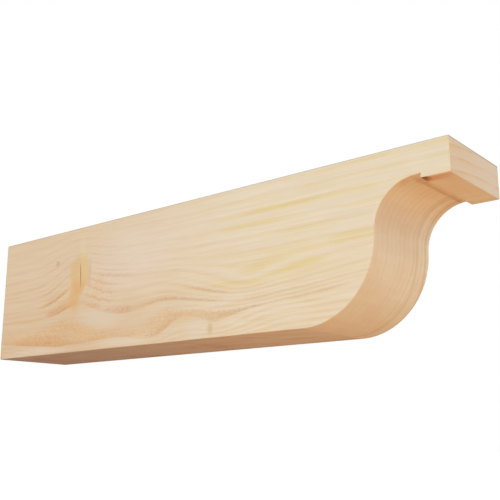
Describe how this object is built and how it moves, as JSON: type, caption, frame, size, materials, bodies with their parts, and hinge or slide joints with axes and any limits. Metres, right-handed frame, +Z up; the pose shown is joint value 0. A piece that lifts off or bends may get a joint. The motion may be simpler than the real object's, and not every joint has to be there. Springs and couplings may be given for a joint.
{
  "type": "rafter tail",
  "caption": "Solid softwood timber with square back end and flat top and underside, sawn at the outer end to an ogee below a square nose.",
  "frame": {"origin": "centre of the square-cut back end, the face that meets the building", "axes": "+X along the timber from the back end to the nose, +Z up to the flat top, +Y across the timber's width"},
  "size_m": [0.61, 0.1, 0.145],
  "materials": {
    "pine": "matte"
  },
  "bodies": {
    "root": {"rafter_tail": "pine"}
  },
  "joints": []
}
